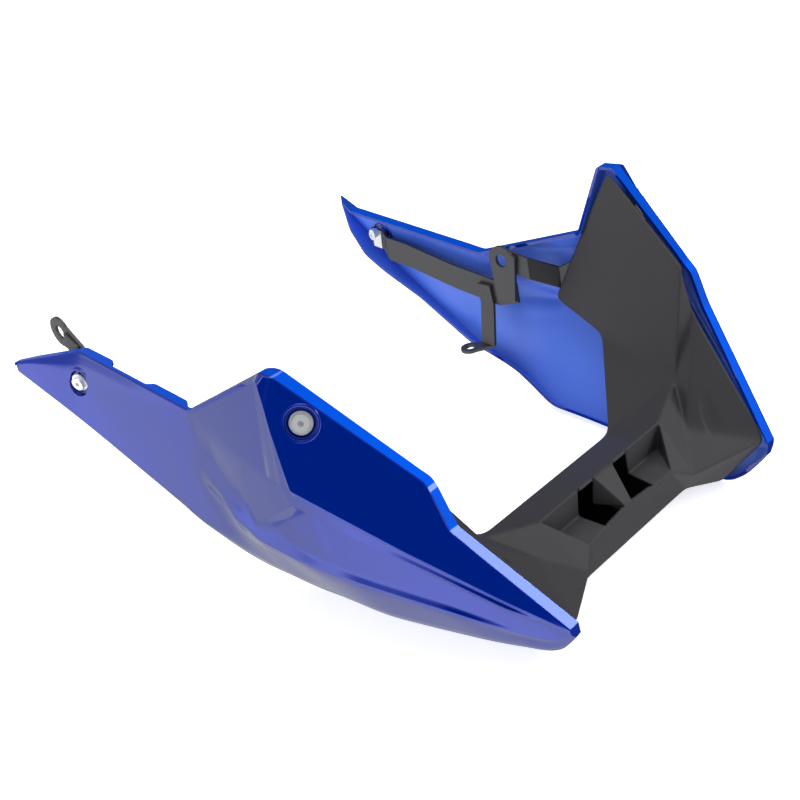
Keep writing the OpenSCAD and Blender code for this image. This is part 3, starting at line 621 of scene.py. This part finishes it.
# %% The mirrored light
# Rows of the cosine to the photograph's camera direction and the light mirrored from there, where 1 is white
MIRROR_LIGHT = [(-1.0, 0.5), (-0.7, 0.52), (-0.35, 1.25), (-0.1, 1.9), (0.2, 2.6), (0.42, 2.8),
                (0.62, 0.9), (0.85, 0.0)]
MIRROR_MOST = 3.0
AWAY_FROM, AWAY_LEAST = (0.3, 0.5), 0.15
ABOVE_FROM, ABOVE_LEAST = (0.12, 0.42), 0.3
place = world_node("ShaderNodeTexCoord")
facing = world_node("ShaderNodeVectorMath", operation="DOT_PRODUCT")
facing.inputs[1].default_value = CAMERA_WAY
share = world_node("ShaderNodeMapRange")
share.inputs["From Min"].default_value = -1.0
ramp = world_node("ShaderNodeValToRGB")
while len(ramp.color_ramp.elements) < len(MIRROR_LIGHT):
    ramp.color_ramp.elements.new(0.5)
for element, (cosine, light) in zip(ramp.color_ramp.elements, MIRROR_LIGHT):
    element.position = (cosine + 1) / 2
    element.color = (*[light / MIRROR_MOST] * 3, 1)
sideways = world_node("ShaderNodeSeparateXYZ")
away = world_node("ShaderNodeMapRange", interpolation_type="SMOOTHSTEP")
away.inputs["From Min"].default_value, away.inputs["From Max"].default_value = AWAY_FROM
away.inputs["To Min"].default_value, away.inputs["To Max"].default_value = MIRROR_MOST, AWAY_LEAST
above = world_node("ShaderNodeMapRange", interpolation_type="SMOOTHSTEP")
above.inputs["From Min"].default_value, above.inputs["From Max"].default_value = ABOVE_FROM
above.inputs["To Min"].default_value, above.inputs["To Max"].default_value = 1.0, ABOVE_LEAST
product = world_node("ShaderNodeMath", operation="MULTIPLY")
lower = world_node("ShaderNodeMath", operation="MULTIPLY")
w.links.new(place.outputs["Generated"], facing.inputs[0])
w.links.new(place.outputs["Generated"], sideways.inputs[0])
w.links.new(sideways.outputs["Y"], away.inputs["Value"])
w.links.new(facing.outputs["Value"], share.inputs["Value"])
w.links.new(share.outputs["Result"], ramp.inputs["Fac"])
w.links.new(ramp.outputs["Color"], product.inputs[0])
w.links.new(away.outputs["Result"], product.inputs[1])
w.links.new(sideways.outputs["Z"], above.inputs["Value"])
w.links.new(product.outputs["Value"], lower.inputs[0])
w.links.new(above.outputs["Result"], lower.inputs[1])
w.links.new(lower.outputs["Value"], mirror.inputs["Strength"])
path = world_node("ShaderNodeLightPath")
first, second = world_node("ShaderNodeMixShader"), world_node("ShaderNodeMixShader")
w.links.new(path.outputs["Is Glossy Ray"], first.inputs[0])
w.links.new(soft.outputs[0], first.inputs[1])
w.links.new(mirror.outputs[0], first.inputs[2])
w.links.new(path.outputs["Is Camera Ray"], second.inputs[0])
w.links.new(first.outputs[0], second.inputs[1])
w.links.new(backdrop.outputs[0], second.inputs[2])
w.links.new(second.outputs[0], w.nodes["World Output"].inputs["Surface"])
print("nodes of the world:", len(w.nodes))


# %% [markdown]
# Three softboxes shape the pan: one overhead, one at the front, and one low beside the near panel. The last
# one lights the paint but is hidden from its gloss, so that it leaves no square highlight.

# %% Lamps
def area_light(name, place, target, size, power):
    data = bpy.data.lights.new(name, "AREA")
    data.shape = "RECTANGLE"
    data.size, data.size_y = size
    data.energy = power
    lamp = bpy.data.objects.new(name, data)
    lamp.location = place
    lamp.rotation_euler = (Vector(target) - Vector(place)).to_track_quat("-Z", "Y").to_euler()
    bpy.context.scene.collection.objects.link(lamp)
    return lamp


area_light("top", (0.0, 0.1, 2.2), (0, 0, 0.1), (1.8, 1.8), 30)
area_light("front_left", (1.52, 1.0, 1.05), (0.2, -0.15, 0.08), (1.2, 0.63), 17)
side_lamp = area_light("near_side", (-0.6, -1.8, 0.7), (0, 0, 0.1), (1.2, 1.2), 9)
side_lamp.visible_glossy = False
print("lamps:", len(bpy.data.lights))

# %% [markdown]
# The floor is a plain white sheet under the pan. It glows a little, so that it renders white and still keeps
# the pan's shadow, and gloss doesn't see it.

# %% Floor
FLOOR_GLOW, FLOOR_HALF = 0.7, 6.0
FLOOR = new_material("floor_white", (0.9, 0.9, 0.9), 0.8)
emit = FLOOR.node_tree
shader = emit.nodes["Principled BSDF"]
white = add_node(FLOOR, "ShaderNodeEmission")
white.inputs["Color"].default_value = (1, 1, 1, 1)
white.inputs["Strength"].default_value = FLOOR_GLOW
both = add_node(FLOOR, "ShaderNodeAddShader")
link(FLOOR, shader.outputs[0], both.inputs[0])
link(FLOOR, white.outputs[0], both.inputs[1])
link(FLOOR, both.outputs[0], emit.nodes["Material Output"].inputs["Surface"])
floor_points = [(FLOOR_HALF * i, FLOOR_HALF * j, 0) for i, j in ((-1, -1), (1, -1), (1, 1), (-1, 1))]
floor = mesh_object("floor", floor_points, [(0, 1, 2, 3)], FLOOR)
floor.visible_glossy = False
print("floor", 2 * FLOOR_HALF, "m wide")

# %% [markdown]
# The photograph was taken with the pan pitched nose down, as its long axis shows. The pan lies level here, so
# the camera is turned about the Y axis by that pitch instead.

# %% Camera
AZIMUTH, ELEVATION, DISTANCE, PITCH = 43.0, 38.7, 1.072, 14.5
AIM = Vector((0, 0.010, 0))
PITCH_HEIGHT = 0.074
a, e = math.radians(AZIMUTH), math.radians(ELEVATION)
back = Vector((math.sin(a) * math.cos(e), -math.cos(a) * math.cos(e), math.sin(e)))
level = Matrix.Translation(AIM + back * DISTANCE) @ (-back).to_track_quat("-Z", "Y").to_matrix().to_4x4()
camera = bpy.data.objects.new("camera", bpy.data.cameras.new("camera"))
camera.matrix_world = (Matrix.Translation((CENTRE_X * MM, 0, PITCH_HEIGHT))
                       @ Matrix.Rotation(math.radians(PITCH), 4, "Y") @ level)
camera.data.lens = 54.0
camera.data.sensor_width = 36.0
bpy.context.scene.collection.objects.link(camera)
bpy.context.scene.camera = camera
print("camera at", [round(v, 3) for v in camera.matrix_world.translation])

# %% [markdown]
# The Standard view shows a colour about as it is written.

# %% Colour and the end of the script
bpy.context.scene.view_settings.view_transform = "Standard"
